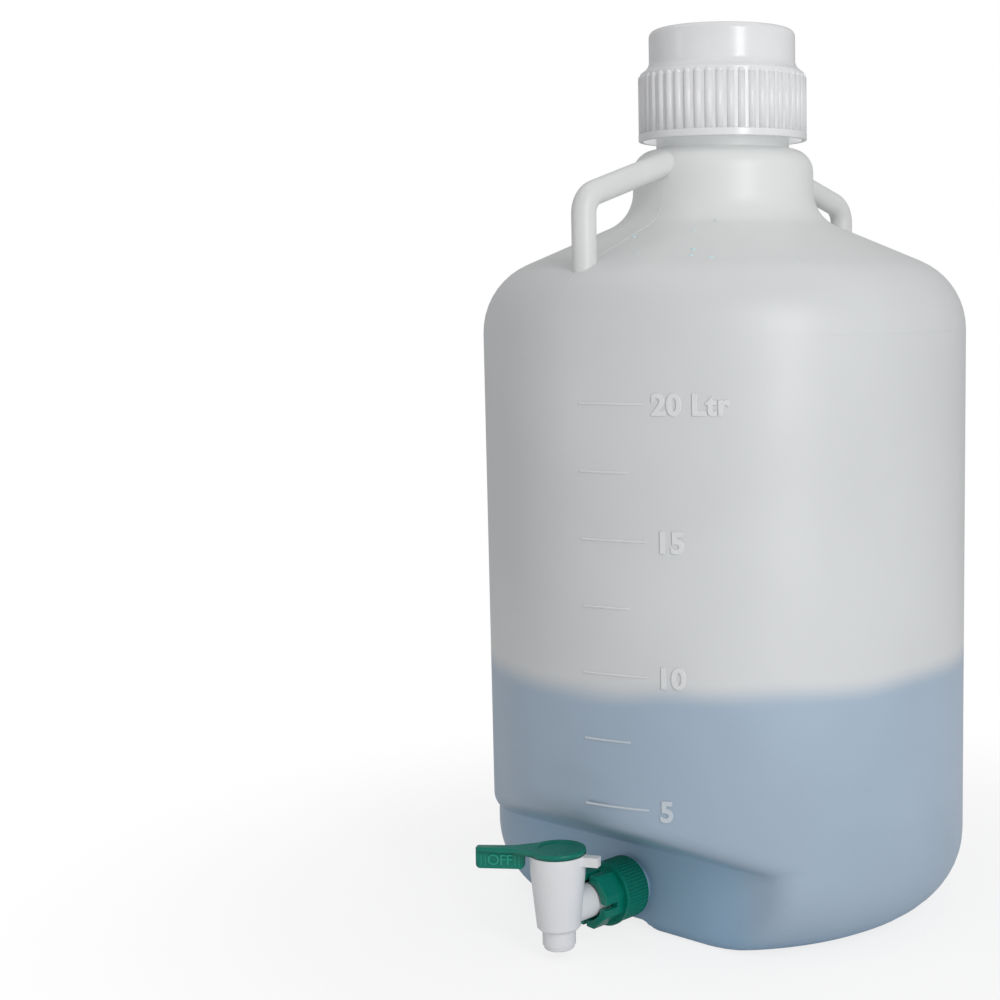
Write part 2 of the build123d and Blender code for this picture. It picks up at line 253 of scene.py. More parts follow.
def tube_along(name, points, radius, cyclic=False):
    """A thin round ridge along points in millimetres."""
    curve = bpy.data.curves.new(name, "CURVE")
    curve.dimensions = "3D"
    curve.bevel_depth = radius * MM
    curve.bevel_resolution = 2
    curve.use_fill_caps = not cyclic
    spline = curve.splines.new("POLY")
    spline.points.add(len(points) - 1)
    for spot, point in zip(spline.points, points):
        spot.co = (*(Vector(point) * MM), 1)
    spline.use_cyclic_u = cyclic
    return shade_by_angle(flatten(add_object(name, curve)), RIDGE_CREASE)


def raised_words(name, words, height, relief, weight, spacing):
    """Raised characters in millimetres, height tall, standing relief proud of their plane."""
    text = bpy.data.curves.new(name, "FONT")
    text.body = words
    text.size = height / CAPITAL_SHARE * MM
    text.offset = weight * MM
    text.extrude = relief / 2 * MM
    text.bevel_depth = relief / 4 * MM
    text.bevel_resolution = 1
    text.space_character = spacing
    text.align_x = "LEFT"
    return flatten(add_object(name, text))


# ---- Node trees ---------------------------------------------------------------------
class Wires:
    """A node tree being built; every node of it comes from node()."""

    def __init__(self, tree):
        self.nodes = tree.nodes
        self.links = tree.links

    def node(self, kind, sockets=None, **settings):
        """Makes a node, sets its settings, then fills or links its input sockets."""
        made = self.nodes.new(kind)
        for name, value in settings.items():
            setattr(made, name, value)
        for name, value in (sockets or {}).items():
            for item in value if isinstance(value, list) else [value]:
                if isinstance(item, Field):
                    item = item.socket
                if isinstance(item, bpy.types.NodeSocket):
                    self.links.new(item, made.inputs[name])
                else:
                    made.inputs[name].default_value = item
        return made


def arithmetic(operation, swapped=False):
    """A method that adds one Math node for its two terms."""
    def method(self, other):
        return self.math(operation, *((other, self) if swapped else (self, other)))
    return method


class Field:
    """A number socket with Python's arithmetic; each operation adds a Math node."""

    def __init__(self, wires, socket):
        self.wires = wires
        self.socket = socket

    def math(self, operation, *values, clamp=False):
        sockets = dict(enumerate(values))
        made = self.wires.node("ShaderNodeMath", sockets, operation=operation, use_clamp=clamp)
        return Field(self.wires, made.outputs[0])

    __add__ = arithmetic("ADD")
    __radd__ = arithmetic("ADD", swapped=True)
    __sub__ = arithmetic("SUBTRACT")
    __rsub__ = arithmetic("SUBTRACT", swapped=True)
    __mul__ = arithmetic("MULTIPLY")
    __rmul__ = arithmetic("MULTIPLY", swapped=True)
    __truediv__ = arithmetic("DIVIDE")
    __pow__ = arithmetic("POWER")
    least = arithmetic("MINIMUM")

    def clamped(self):
        return self.math("ADD", self, 0.0, clamp=True)

    def step(self, low, high):
        """Rises smoothly from 0 at low to 1 at high."""
        sockets = {"Value": self, "From Min": low, "From Max": high}
        made = self.wires.node("ShaderNodeMapRange", sockets, interpolation_type="SMOOTHSTEP")
        return Field(self.wires, made.outputs["Result"])


class Finish(Wires):
    """A material being built on Object coordinates, with one Principled shader."""

    def __init__(self, name):
        self.material = bpy.data.materials.new(name)
        self.material.use_nodes = True
        super().__init__(self.material.node_tree)
        self.nodes.clear()
        self.output = self.node("ShaderNodeOutputMaterial")
        self.place = self.node("ShaderNodeTexCoord").outputs["Object"]

    def axes(self):
        """The place's three numbers, in metres."""
        split = self.node("ShaderNodeSeparateXYZ", {"Vector": self.place})
        return [Field(self, split.outputs[axis]) for axis in "XYZ"]

    def noise(self, scale, detail=2.0, roughness=0.5):
        """Smooth noise between about 0.3 and 0.7, with scale features in a metre."""
        sockets = {"Vector": self.place, "Scale": scale, "Detail": detail, "Roughness": roughness}
        return Field(self, self.node("ShaderNodeTexNoise", sockets).outputs["Fac"])

    def mix(self, share, first, second):
        """A colour between first and second."""
        made = self.node("ShaderNodeMix", {"Factor": share}, data_type="RGBA")
        for index, colour in ((6, first), (7, second)):
            if isinstance(colour, bpy.types.NodeSocket):
                self.links.new(colour, made.inputs[index])
            else:
                made.inputs[index].default_value = (*colour, 1.0)
        return made.outputs[2]

    def bump(self, height, strength, distance):
        """The normal of a surface raised by height."""
        sockets = {"Height": height, "Strength": strength, "Distance": distance}
        return self.node("ShaderNodeBump", sockets).outputs["Normal"]

    def plastic(self, **sockets):
        """The Principled shader, linked to the output."""
        named = {name.replace("_", " "): value for name, value in sockets.items()}
        shader = self.node("ShaderNodeBsdfPrincipled", named)
        self.links.new(shader.outputs["BSDF"], self.output.inputs["Surface"])
        return self.material


class Growth(Wires):
    """A Geometry Nodes tree being built, with named inputs and one geometry output."""

    def __init__(self, name, inputs):
        self.tree = bpy.data.node_groups.new(name, "GeometryNodeTree")
        super().__init__(self.tree)
        faces = self.tree.interface
        faces.new_socket(name="Geometry", in_out="INPUT", socket_type="NodeSocketGeometry")
        self.identifiers = {}
        for label, kind in inputs.items():
            socket = faces.new_socket(name=label, in_out="INPUT", socket_type=f"NodeSocket{kind}")
            self.identifiers[label] = socket.identifier
        faces.new_socket(name="Geometry", in_out="OUTPUT", socket_type="NodeSocketGeometry")
        self.inputs = self.node("NodeGroupInput").outputs

    def number(self, label):
        """One of the tree's inputs."""
        return Field(self, self.inputs[label])

    def vector(self, x=0.0, y=0.0, z=0.0):
        """A vector of three numbers."""
        return self.node("ShaderNodeCombineXYZ", {"X": x, "Y": y, "Z": z}).outputs[0]

    def attribute(self, name, kind):
        """A value that the seed mesh carries on its points."""
        made = self.node("GeometryNodeInputNamedAttribute", {"Name": name}, data_type=kind)
        return made.outputs["Attribute"]

    def lifted(self, geometry, height):
        """The geometry moved up by height."""
        sockets = {"Geometry": geometry, "Translation": self.vector(z=height)}
        return self.node("GeometryNodeTransform", sockets).outputs[0]

    def round_ridge(self, curve, radius):
        """A ridge of round section along a curve, with closed ends."""
        section = self.node(
            "GeometryNodeCurvePrimitiveCircle", {"Resolution": 10, "Radius": radius}
        )
        return self.node("GeometryNodeCurveToMesh", {
            "Curve": curve, "Profile Curve": section.outputs["Curve"], "Fill Caps": True,
        }).outputs["Mesh"]

    def repeated(self, points, instance, **sockets):
        """The instance on every point."""
        sockets |= {"Points": points, "Instance": instance}
        return self.node("GeometryNodeInstanceOnPoints", sockets).outputs["Instances"]

    def close(self, geometry):
        """Ends the tree: real geometry, smooth shading, the material, the output."""
        real = self.node("GeometryNodeRealizeInstances", {"Geometry": geometry})
        smooth = self.node("GeometryNodeSetShadeSmooth", {"Geometry": real.outputs[0]})
        coated = self.node("GeometryNodeSetMaterial", {
            "Geometry": smooth.outputs[0], "Material": self.inputs["Material"],
        })
        output = self.node("NodeGroupOutput")
        self.links.new(coated.outputs[0], output.inputs["Geometry"])
        return self

    def grow(self, name, seed_mesh=None, **values):
        """The tree's result as a plain mesh object, for the named input values."""
        host = add_object(name, seed_mesh or bpy.data.meshes.new(name))
        modifier = host.modifiers.new(self.tree.name, "NODES")
        modifier.node_group = self.tree
        for label, value in values.items():
            modifier[self.identifiers[label.replace("_", " ")]] = value
        return flatten(host)


# ---- Forms --------------------------------------------------------------------------
def recess_face(inset):
    """Heights, reaches and steepness of the recess, from the flat up over its roof."""
    rise = tan(ROOF_SLOPE)
    flat, brow = FLAT_REACH - inset, BROW_REACH - inset
    corner = RECESS_HEIGHT + inset / cos(ROOF_SLOPE) - inset * rise
    path = np.array(rounded_path([
        (flat, -MOUTH_HEIGHT, 0),
        (flat, corner, RECESS_CORNER_ROUND + inset),
        (brow, corner + (brow - flat) * rise, ROOF_FLARE - inset),
        (brow, BROW_TOP, BROW_ROUND),
        (brow + BROW_LEAN, FINE_CEILING + BROW_LEAN, 0),
    ]))
    along = np.gradient(path, axis=0)
    steep = along[:, 1] / np.hypot(along[:, 0], along[:, 1])
    return path[:, 1], path[:, 0], steep


def shell_depth(radius, height, azimuth, inset):
    """Distance outside the foot of the shell, less its recess; the edges are softened."""
    foot = FOOT_ROUND - inset
    across = radius - (BODY_RADIUS - inset - foot)
    below = inset + foot - height
    corner = np.hypot(np.maximum(across, 0), np.maximum(below, 0))
    shell = corner + np.minimum(np.maximum(across, below), 0) - foot
    heights, reaches, steeps = recess_face(inset)
    reach = np.interp(height, heights, reaches)
    face = (radius * np.cos(azimuth) - reach) * np.interp(height, heights, steeps)
    blend = EDGE_BLEND * (1 - inset / BODY_RADIUS)
    overlap = np.maximum(blend - np.abs(shell - face), 0)
    return np.maximum(shell, face) + overlap ** 2 / (4 * blend)


def spaced(path, fine_spacing):
    """The path with its long stretches divided, finely where the recess is."""
    points = [path[0]]
    for start, end in zip(path, path[1:]):
        near_recess = min(start.y, end.y) < FINE_CEILING and max(start.x, end.x) > CAST_RADIUS
        spacing = fine_spacing if near_recess else COARSE_SPACING
        count = max(1, ceil((end - start).length / spacing - 0.01))
        points += [start.lerp(end, index / count) for index in range(1, count + 1)]
    return points


def shell_surface(path, azimuths, inset):
    """Rings of points on the path turned about the axis, pressed in at the recess."""
    target = np.array(path)
    radius, height = target[:, :1], target[:, 1:]
    start_radius = np.minimum(radius, CAST_RADIUS)
    start_height = np.maximum(height, FOOT_ROUND)
    near = np.zeros((len(path), len(azimuths)))
    far = np.ones_like(near)
    for _ in range(26):
        middle = (near + far) / 2
        depth = shell_depth(
            start_radius + middle * (radius - start_radius),
            start_height + middle * (height - start_height),
            azimuths, inset,
        )
        near = np.where(depth < 0, middle, near)
        far = np.where(depth < 0, far, middle)
    share = np.where(height < FINE_CEILING, far, 1.0)
    radius = start_radius + share * (radius - start_radius)
    height = start_height + share * (height - start_height)
    x, y = radius * np.sin(azimuths), -radius * np.cos(azimuths)
    side = (NOTCH_FOOT_HALF + inset - np.abs(x)) / (NOTCH_FOOT_HALF - NOTCH_TOP_HALF)
    back = -y - NOTCH_BACK + inset
    lift = (NOTCH_HEIGHT + inset) * np.clip(side, 0, 1) * np.clip(back, 0, 1)
    return np.stack([x, y, np.maximum(height, lift)], axis=-1)


def shell_mesh(name):
    """The blow-moulded shell: outside, lip and inside in one closed skin."""
    fine = np.arange(-FINE_HALF_ANGLE, FINE_HALF_ANGLE, FINE_STEP)
    rest = 360 - 2 * FINE_HALF_ANGLE
    coarse = np.linspace(0, rest, round(rest / COARSE_STEP), endpoint=False) + FINE_HALF_ANGLE
    azimuths = np.radians(np.concatenate([fine, coarse]))
    cone = tan(CONE_SLOPE)
    drop = WALL / cos(CONE_SLOPE)
    inner = BODY_RADIUS - WALL
    inner_collar = COLLAR_RADIUS - WALL
    inner_foot = SHOULDER_CORNER - drop + (BODY_RADIUS - inner_collar) * cone
    bore = NECK_RADIUS - WALL
    outside = rounded_path([
        (0, 0, 0),
        (CAST_RADIUS, 0, 0),
        (BODY_RADIUS, 0, FOOT_ROUND),
        (BODY_RADIUS, FINE_CEILING, 0),
        (BODY_RADIUS, SHOULDER_CORNER, SHOULDER_ROUND),
        (COLLAR_RADIUS, SHOULDER_CORNER + (BODY_RADIUS - COLLAR_RADIUS) * cone, COLLAR_BLEND),
        (COLLAR_RADIUS, COLLAR_TOP, COLLAR_ROUND),
        (NECK_RADIUS, COLLAR_TOP, ROOT_ROUND),
        (NECK_RADIUS, MOUTH_HEIGHT, LIP_ROUND),
        (NECK_RADIUS - WALL / 2, MOUTH_HEIGHT, 0),
    ])
    inside = rounded_path([
        (NECK_RADIUS - WALL / 2, MOUTH_HEIGHT, 0),
        (bore, MOUTH_HEIGHT, LIP_ROUND),
        (bore, COLLAR_TOP - WALL, LIP_ROUND),
        (inner_collar, COLLAR_TOP - WALL, COLLAR_ROUND - WALL),
        (inner_collar, inner_foot, COLLAR_BLEND + WALL),
        (inner, SHOULDER_CORNER - drop + WALL * cone, SHOULDER_ROUND - WALL),
        (inner, FINE_CEILING, 0),
        (inner, WALL, FOOT_ROUND - WALL),
        (CAST_RADIUS, WALL, 0),
        (0, WALL, 0),
    ])
    outer_rows = shell_surface(spaced(outside, FINE_SPACING), azimuths, 0.0)
    inner_rows = shell_surface(spaced(inside, 2 * FINE_SPACING), azimuths, WALL)
    return grid_mesh(name, [*outer_rows, *inner_rows])


def on_wall(azimuth, height, proud=0.0):
    """A point in millimetres on the straight wall; azimuth in degrees from the tap to +X."""
    turn = radians(azimuth)
    radius = BODY_RADIUS + proud
    return radius * sin(turn), -radius * cos(turn), height


def wrapped(piece, azimuth, height):
    """Bends flat words, drawn in X and Y with relief in Z, round the straight wall."""
    for vertex in piece.data.vertices:
        x, y, relief = vertex.co / MM
        turn = radians(azimuth) + x / BODY_RADIUS
        radius = BODY_RADIUS + relief
        vertex.co = Vector((radius * sin(turn), -radius * cos(turn), height + y)) * MM
    return shade_by_angle(piece, FIGURE_CREASE)


# ---- Geometry Nodes trees -----------------------------------------------------------
def rib_tree():
    """Upright ribs with domed tops, in a ring about local Z."""
    growth = Growth("Ribs in a ring", {
        "Count": "Int", "Sides": "Int", "Ring Radius": "Float", "Rib Radius": "Float",
        "Foot": "Float", "Top": "Float", "Material": "Material",
    })
    radius, foot = growth.number("Rib Radius"), growth.number("Foot")
    stem_length = growth.number("Top") - foot - radius
    sides = growth.number("Sides")
    stem = growth.node("GeometryNodeMeshCylinder", {
        "Vertices": sides, "Radius": radius, "Depth": stem_length,
    })
    ball = growth.node("GeometryNodeMeshUVSphere", {
        "Segments": sides, "Rings": 10, "Radius": radius,
    })
    standing = growth.lifted(stem.outputs["Mesh"], foot + stem_length * 0.5)
    dome = growth.lifted(ball.outputs["Mesh"], foot + stem_length)
    rib = growth.node("GeometryNodeJoinGeometry", {"Geometry": [standing, dome]})
    ring = growth.node("GeometryNodeMeshCircle", {
        "Vertices": growth.number("Count"), "Radius": growth.number("Ring Radius"),
    })
    return growth.close(growth.repeated(ring.outputs["Mesh"], rib.outputs[0]))


def thread_tree():
    """A helical ridge about local Z that fades out at both ends."""
    growth = Growth("Screw thread", {
        "Radius": "Float", "Foot": "Float", "Pitch": "Float", "Turns": "Float",
        "Ridge": "Float", "Material": "Material",
    })
    radius, turns = growth.number("Radius"), growth.number("Turns")
    helix = growth.node("GeometryNodeCurveSpiral", {
        "Resolution": 72, "Rotations": turns, "Start Radius": radius, "End Radius": radius,
        "Height": growth.number("Pitch") * turns,
    })
    along = Field(growth, growth.node("GeometryNodeSplineParameter").outputs["Factor"])
    share = (along * 14.0).least((1.0 - along) * 14.0).least(1.0)
    tapered = growth.node("GeometryNodeSetCurveRadius", {
        "Curve": helix.outputs["Curve"], "Radius": share,
    })
    ridge = growth.round_ridge(tapered.outputs["Curve"], growth.number("Ridge"))
    return growth.close(growth.lifted(ridge, growth.number("Foot")))


def bar_tree():
    """Level bars on a round wall, one above another."""
    growth = Growth("Bars on a round wall", {
        "Count": "Int", "Foot": "Float", "Pitch": "Float", "Wall Radius": "Float",
        "Start": "Float", "Sweep": "Float", "Bar Radius": "Float", "Material": "Material",
    })
    arc = growth.node("GeometryNodeCurveArc", {
        "Resolution": 16, "Radius": growth.number("Wall Radius"),
        "Start Angle": growth.number("Start"), "Sweep Angle": growth.number("Sweep"),
    })
    bar = growth.round_ridge(arc.outputs["Curve"], growth.number("Bar Radius"))
    ladder = growth.node("GeometryNodeMeshLine", {
        "Count": growth.number("Count"), "Start Location": growth.vector(z=growth.number("Foot")),
        "Offset": growth.vector(z=growth.number("Pitch")),
    })
    return growth.close(growth.repeated(ladder.outputs["Mesh"], bar))


def droplet_tree():
    """A flat bead of liquid on each point, along the point's facing and as wide as its span."""
    growth = Growth("Droplets", {"Flatness": "Float", "Material": "Material"})
    facing = growth.attribute("facing", "FLOAT_VECTOR")
    span = growth.attribute("span", "FLOAT")
    turn = growth.node("FunctionNodeAlignRotationToVector", {"Vector": facing}, axis="Z")
    ball = growth.node("GeometryNodeMeshIcoSphere", {"Radius": 0.5, "Subdivisions": 3})
    flatness = growth.number("Flatness")
    bead = growth.node("GeometryNodeTransform", {
        "Geometry": ball.outputs["Mesh"], "Scale": growth.vector(1.0, 1.0, flatness),
    })
    return growth.close(growth.repeated(
        growth.inputs["Geometry"], bead.outputs[0], Rotation=turn.outputs["Rotation"], Scale=span
    ))


# ---- Materials ----------------------------------------------------------------------
def shell_plastic(shell, name="Natural polyethylene", dry_colour=None, wet_colour=None):
    """Translucent polyethylene, tinted by the liquid that stands behind it, with painted light and
    shade: a paler neck, painted shade and a painted green reflection under the recess's roof, and
    painted blue bounce light deeper in the recess.
    """
    dry_colour = dry_colour or shell.dry_colour
    wet_colour = wet_colour or shell.wet_colour
    finish = Finish(name)
    x, y, height = finish.axes()
    depth = BODY_RADIUS * MM - (x * x + y * y) ** 0.5
    ripple = (finish.noise(11.0) - 0.5) * shell.level_blur
    level = shell.liquid_level
    wet = 1.0 - (height + ripple).step(level - shell.level_blur, level + shell.level_blur * 0.6)
    cloud = finish.noise(8.0, detail=3.0).step(0.35, 0.65)
    dry_tint = finish.mix(cloud, dry_colour, [part * 0.955 for part in dry_colour])
    wet_tint = finish.mix(cloud, wet_colour, [part * 0.93 for part in wet_colour])
    # Painted shade and a painted green reflection under the recess's roof; lower down, the liquid
    # all round plus painted blue bounce light.
    recess_liquid_and_shade_tint = finish.mix(height.step(*ROOF_SPAN), shell.deep_and_bounce_colour, shell.roof_shade_colour)
    wet_tint = finish.mix(depth.step(*DEEP_SPAN), wet_tint, recess_liquid_and_shade_tint)
    # Painted light: paler towards the collar and neck, standing for light let through them.
    dry_tint = finish.mix(height.step(*NECK_SPAN), dry_tint, shell.neck_light_colour)
    tint = finish.mix(wet, dry_tint, wet_tint)
    skin = finish.noise(420.0, detail=3.0)
    return finish.plastic(
        Base_Color=tint,
        Roughness=0.36 + cloud * 0.07,
        Normal=finish.bump(skin, 0.10, 0.0004),
        IOR=1.51,
    )


def moulded(finish, colour, roughness, texture=0.05, scale=260.0, index=1.49, **more):
    """Opaque moulded plastic with faint flow clouds and a fine skin."""
    cloud = finish.noise(22.0, detail=3.0).step(0.3, 0.7)
    return finish.plastic(
        Base_Color=finish.mix(cloud, colour, [part * 0.94 for part in colour]),
        Roughness=roughness + cloud * 0.06,
        Normal=finish.bump(finish.noise(scale), texture, 0.0003),
        IOR=index,
        **more,
    )


def moulded_plastic(name, *values, **named):
    """A material of moulded plastic by itself."""
    return moulded(Finish(name), *values, **named)


def cap_plastic(name, colour, roughness):
    """White plastic whose inner skirt glows with painted light, standing for light let through its
    wall.
    """
    finish = Finish(name)
    x, y, height = finish.axes()
    inner = 1.0 - ((x * x + y * y) ** 0.5).step(*SKIRT_EDGE)
    # Painted light: the inner skirt glows, fading out upwards.
    skirt = inner * (1.0 - height.step(*SKIRT_FADE))
    return moulded(
        finish, colour, roughness, texture=0.02, Emission_Strength=SKIRT_PAINTED_LIGHT,
        Emission_Color=finish.mix(skirt, (0.0, 0.0, 0.0), colour),
    )


def foam(name, colour):
    """Closed-cell foam: matt, with fine pits."""
    finish = Finish(name)
    cells = finish.noise(1500.0, detail=2.0).step(0.35, 0.6)
    return finish.plastic(
        # Painted shade: darker in the pits of the bump.
        Base_Color=finish.mix(cells, [part * 0.8 for part in colour], colour),
        Roughness=0.8 + cells * 0.1,
        Normal=finish.bump(cells, 0.35, 0.0002),
    )


def liquid_matter(name, colour):
    """Tinted water, seen through the mouth; its glow stands for light let in by the wall."""
    finish = Finish(name)
    drift = finish.noise(6.0, detail=1.0).step(0.3, 0.7)
    return finish.plastic(
        Base_Color=finish.mix(drift, colour, [part * 0.9 for part in colour]),
        Roughness=0.04 + drift * 0.02,
        IOR=1.33,
        Emission_Color=(*colour, 1),
        Emission_Strength=0.7,
    )


# ---- Settings -----------------------------------------------------------------------
def metres(name, description, default):
    """A setting in metres."""
    return FloatProperty(name=name, description=description, default=default, unit="LENGTH")


def watts(name, description, default):
    """A setting in watts."""
    return FloatProperty(name=name, description=description, default=default, unit="POWER")


def paint(name, description, default):
    """A setting for a linear colour."""
    return FloatVectorProperty(
        name=name, description=description, default=default, subtype="COLOR"
    )


class ShellSettings(bpy.types.PropertyGroup):
    """Look of the blow-moulded shell and of the liquid behind its wall."""

    liquid_level: metres("Liquid Level", "Height of the liquid's surface", 0.160)
    level_blur: metres("Level Blur", "How far the wall spreads the edge of the liquid", 0.010)
    dry_colour: paint("Dry Colour", "Wall with air behind it", (0.640, 0.655, 0.665))
    # Painted light: the paler neck colour stands for light let through the collar and the neck.
    neck_light_colour: paint(
        "Neck Colour", "Collar and neck, which let more light through", (0.740, 0.755, 0.752)
    )
    wet_colour: paint("Wet Colour", "Wall with liquid behind it", (0.362, 0.456, 0.563))
    # Partly painted light: the deeper blue is the liquid all round plus painted blue bounce light
    # in the recess's shade.
    deep_and_bounce_colour: paint(
        "Deep Colour", "Wall of the recess and the foot, liquid all round", (0.300, 0.450, 0.600)
    )
    # Painted shade: the roof's underside is darker and greener, standing for its shade and the
    # green nut's reflection.
    roof_shade_colour: paint(
        "Roof Colour", "Underside of the recess's roof, over the green nut", (0.230, 0.390, 0.450)
    )


class MarkSettings(bpy.types.PropertyGroup):
    """Raised litre marks beside the tap."""

    first_bar: metres("First Bar", "Height of the five litre bar", 0.0928)
    bar_pitch: metres("Bar Pitch", "Height that holds two and a half litres", 0.03785)
    bar_radius: metres("Bar Radius", "Radius of a bar's rounded section", 0.00075)
    digit_height: metres("Digit Height", "Height of the raised figures", 0.0113)
    dry_colour: paint(
        "Dry Colour", "Thicker plastic of the marks with air behind it", (0.710, 0.718, 0.722)
    )
    wet_colour: paint(
        "Wet Colour", "Thicker plastic of the marks with liquid behind it", (0.560, 0.620, 0.680)
    )


class CapSettings(bpy.types.PropertyGroup):
    """Screw cap with its gripping ribs."""

    rib_count: IntProperty(name="Rib Count", description="Ribs round the cap", default=48, min=3)
    rib_radius: metres("Rib Radius", "Radius of one rib", 0.0026)
    rib_ring: metres("Rib Ring", "Radius of the ring of ribs", 0.0487)
    colour: paint("Colour", "White of the cap", (0.78, 0.785, 0.80))


class ThreadSettings(bpy.types.PropertyGroup):
    """Threads of the neck and of the cap."""

    pitch: metres("Pitch", "Rise of the thread in one turn", 0.0085)
    turns: FloatProperty(name="Turns", description="Turns of the thread", default=2.6, min=0.5)
    ridge: metres("Ridge", "Radius of the thread's round section", 0.0021)


class TapSettings(bpy.types.PropertyGroup):
    """Colours and eased edges of the tap and its nut."""

    easing: metres("Easing", "Width of the eased edges", 0.00035)
    green: paint("Green", "Colour of the lever and the nut", (0.001, 0.185, 0.132))
    # Painted highlight: a lighter green on the raised words stands for their sheen.
    highlit_green: paint(
        "Raised Green", "Colour of the words' polished tops", (0.016, 0.300, 0.215)
    )
    white: paint("White", "Colour of the tap's barrel", (0.80, 0.805, 0.825))
    word_height: metres("Word Height", "Height of the raised words on the lever", 0.0062)


class DropletSettings(bpy.types.PropertyGroup):
    """Dried beads of tinted liquid on the shell."""

    flatness: FloatProperty(
        name="Flatness", description="Height of a bead as a share of its width",
        default=0.35, subtype="FACTOR",
    )
    colour: paint("Colour", "Tint of the beads", (0.58, 0.76, 0.78))


class StageSettings(bpy.types.PropertyGroup):
    """Floor, lamps and surroundings."""

    floor_colour: paint("Floor Colour", "Colour of the floor", (0.90, 0.90, 0.90))
    surround: FloatProperty(
        name="Surround", description="Light from all round, where 1 is white", default=0.42,
    )
    key_power: watts("Key Power", "Power of the large lamp to the right", 15.5)
    fill_power: watts("Fill Power", "Power of the tall lamp in front of the tap", 1.6)
    top_power: watts("Top Power", "Power of the broad lamp overhead", 5.5)


# ---- Operators ----------------------------------------------------------------------
class Undoable:
    """Makes an operator one step of the undo history."""

    bl_options = {"REGISTER", "UNDO"}


class CARBOY_OT_shell(Undoable, bpy.types.Operator):
    """Adds the blow-moulded shell with the recess for its tap"""

    bl_idname = "carboy.shell"
    bl_label = "Shell"

    def execute(self, context):
        solids = ["carboy_body", "carboy_shoulder", "carboy_neck"]
        material = shell_plastic(context.scene.carboy_shell)
        finish_piece(shell_mesh("shell"), "carboy", material, replaced=solids)
        return {"FINISHED"}


class CARBOY_OT_port(Undoable, bpy.types.Operator):
    """Adds the boss on the flat and the threaded port that holds the tap"""

    bl_idname = "carboy.port"
    bl_label = "Port"

    profile = (                    # radius, reach and round, in millimetres
        (9.7, 89.0, 0), (14.8, 89.0, 0), (14.8, 96.7, 0.6), (13.8, 96.7, 0.3),
        (13.8, 110.0, 0.8), (9.7, 110.0, 0.4), (9.7, 89.0, 0),
    )

    def execute(self, context):
        port = turned("port", self.profile, place=SPIGOT_FRAME)
        material = shell_plastic(context.scene.carboy_shell)
        finish_piece(port, "carboy", material)
        return {"FINISHED"}


class CARBOY_OT_marks(Undoable, bpy.types.Operator):
    """Adds the raised litre bars and their figures"""

    bl_idname = "carboy.marks"
    bl_label = "Litre Marks"

    long_sweep = 15.7              # degrees round the wall
    short_sweep = 11.6
    first_edge = 6.5
    sink = 0.05                    # depth of the bars' middle below the wall
    # Words, the azimuth where they start and the bar beside them
    figures = (("5", 24.6, 0), ("10", 24.2, 2), ("15", 24.3, 4), ("20 Ltr", 23.8, 6))

    def execute(self, context):
        scene = context.scene
        marks = scene.carboy_marks
        material = shell_plastic(
            scene.carboy_shell, "Litre marks", marks.dry_colour, marks.wet_colour
        )
        tree = bar_tree()
        rows = (("long", 4, 0, self.long_sweep), ("short", 3, 1, self.short_sweep))
        bars = [
            tree.grow(
                f"{name}_bars", Count=count, Foot=marks.first_bar + first * marks.bar_pitch,
                Pitch=2 * marks.bar_pitch, Wall_Radius=(BODY_RADIUS - self.sink) * MM,
                Start=radians(self.first_edge - 90), Sweep=radians(sweep),
                Bar_Radius=marks.bar_radius, Material=material,
            )
            for name, count, first, sweep in rows
        ]
        bars = join("litre_bars", bars)
        finish_piece(shade_by_angle(bars, RIDGE_CREASE), "carboy", material)
        digit_height = marks.digit_height / MM
        words = []
        for body, edge, bar in self.figures:
            flat = raised_words(
                f"figure_{bar}", body, digit_height, relief=1.1, weight=0.35, spacing=1.06
            )
            foot = (marks.first_bar + bar * marks.bar_pitch) / MM - digit_height / 2
            words.append(wrapped(flat, edge, foot))
        figures = join("litre_figures", words)
        finish_piece(shade_by_angle(figures, FIGURE_CREASE), "carboy", material)
        return {"FINISHED"}


class CARBOY_OT_seams(Undoable, bpy.types.Operator):
    """Adds the fine ridges where the halves of the mould met"""

    bl_idname = "carboy.seams"
    bl_label = "Mould Seams"

    ridge = 0.25                   # radius of a seam, in millimetres
    sink = 0.21                    # depth of its middle below the wall
    foot = 120.0
    rings = ((356.5, 0, 360, True), (99.5, 20, 340, False))     # height, azimuths, closed

    def execute(self, context):
        cone_rise = (BODY_RADIUS - COLLAR_RADIUS) * tan(CONE_SLOPE)
        path = rounded_path([
            (BODY_RADIUS - self.sink, self.foot, 0),
            (BODY_RADIUS - self.sink, SHOULDER_CORNER, SHOULDER_ROUND),
            (COLLAR_RADIUS, SHOULDER_CORNER + cone_rise, COLLAR_BLEND),
            (COLLAR_RADIUS - self.sink, COLLAR_TOP - COLLAR_ROUND, 0),
        ])
        ridges = [
            tube_along("upright_seam", [(0, side * spot.x, spot.y) for spot in path], self.ridge)
            for side in (-1, 1)
        ]
        for height, start, end, closed in self.rings:
            ring = [on_wall(azimuth, height, -self.sink) for azimuth in range(start, end, 3)]
            ridges.append(tube_along("level_seam", ring, self.ridge, cyclic=closed))
        seams = join("mould_seams", ridges)
        material = shell_plastic(context.scene.carboy_shell)
        finish_piece(shade_by_angle(seams, RIDGE_CREASE), "carboy", material)
        return {"FINISHED"}


class CARBOY_OT_handles(Undoable, bpy.types.Operator):
    """Adds the two bar handles"""

    bl_idname = "carboy.handles"
    bl_label = "Handles"

    tint = (0.72, 0.73, 0.728)

    def execute(self, context):
        material = moulded_plastic("Handle polyethylene", self.tint, 0.36)
        for node in ("handle_front", "handle_rear"):
            handle = merged_copy(node, f"{node}_bar")
            finish_piece(handle, "carboy", material, replaced=[node])
        return {"FINISHED"}


